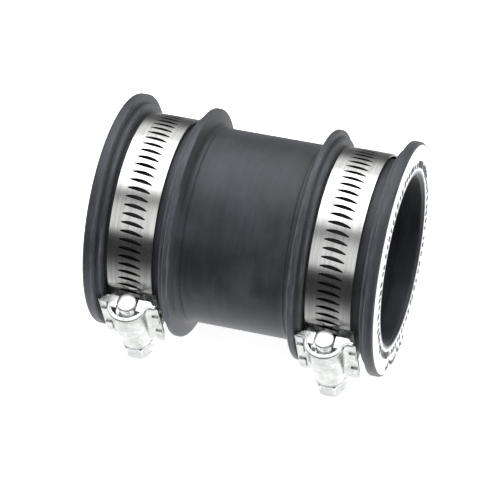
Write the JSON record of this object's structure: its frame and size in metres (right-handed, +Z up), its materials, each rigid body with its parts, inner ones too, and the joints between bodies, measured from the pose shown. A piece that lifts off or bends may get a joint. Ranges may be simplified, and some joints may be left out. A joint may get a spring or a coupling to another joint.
{
  "type": "pipe coupling",
  "caption": "Flexible rubber pipe coupling: a ribbed sleeve held on two pipe ends by worm-drive band clamps with hex-head screws.",
  "frame": {"origin": "centre of the bore, half way along the sleeve", "axes": "+X along the pipe axis, +Z up as the coupling lies on its side, screw heads low on the -Y side"},
  "size_m": [0.0822, 0.0685, 0.066],
  "materials": {
    "sleeve_rubber": "moulded matt",
    "band_steel": "bright rolled",
    "housing_steel": "tumbled bright",
    "saddle_steel": "bright rolled",
    "screw_steel": "bright plated"
  },
  "bodies": {
    "sleeve": {"rubber_sleeve": "sleeve_rubber"},
    "clamp_left": {"clamp_housing_left": "housing_steel", "clamp_saddle_left": "saddle_steel"},
    "clamp_right": {"clamp_housing_right": "housing_steel", "clamp_saddle_right": "saddle_steel"},
    "screw_left": {"clamp_screw_left": "screw_steel"},
    "screw_right": {"clamp_screw_right": "screw_steel"},
    "band_left": {"clamp_band_left": "band_steel"},
    "band_right": {"clamp_band_right": "band_steel"}
  },
  "joints": [
    {"name": "clamp_swivel_left", "type": "hinge", "parent": "sleeve", "child": "clamp_left", "pos_m": [-0.029, 0, 0], "axis": [1, 0, 0], "continuous": true},
    {"name": "clamp_swivel_right", "type": "hinge", "parent": "sleeve", "child": "clamp_right", "pos_m": [0.0274, 0, 0], "axis": [1, 0, 0], "continuous": true},
    {"name": "screw_turn_left", "type": "hinge", "parent": "clamp_left", "child": "screw_left", "pos_m": [-0.029, -0.02884, -0.01278], "axis": [0, -0.4051, 0.9143], "range_deg": [-720, 1080]},
    {"name": "screw_turn_right", "type": "hinge", "parent": "clamp_right", "child": "screw_right", "pos_m": [0.0274, -0.02911, -0.01218], "axis": [0, -0.3859, 0.9225], "range_deg": [-720, 1080]},
    {"name": "band_travel_left", "type": "hinge", "parent": "clamp_left", "child": "band_left", "pos_m": [-0.029, 0, 0], "axis": [1, 0, 0], "range_deg": [-9.72, 14.59]},
    {"name": "band_travel_right", "type": "hinge", "parent": "clamp_right", "child": "band_right", "pos_m": [0.0274, 0, 0], "axis": [1, 0, 0], "range_deg": [-9.72, 14.59]}
  ],
  "couplings": [
    {"joint": "screw_turn_left", "follows": "band_travel_left", "ratio": 74},
    {"joint": "screw_turn_right", "follows": "band_travel_right", "ratio": 74}
  ]
}
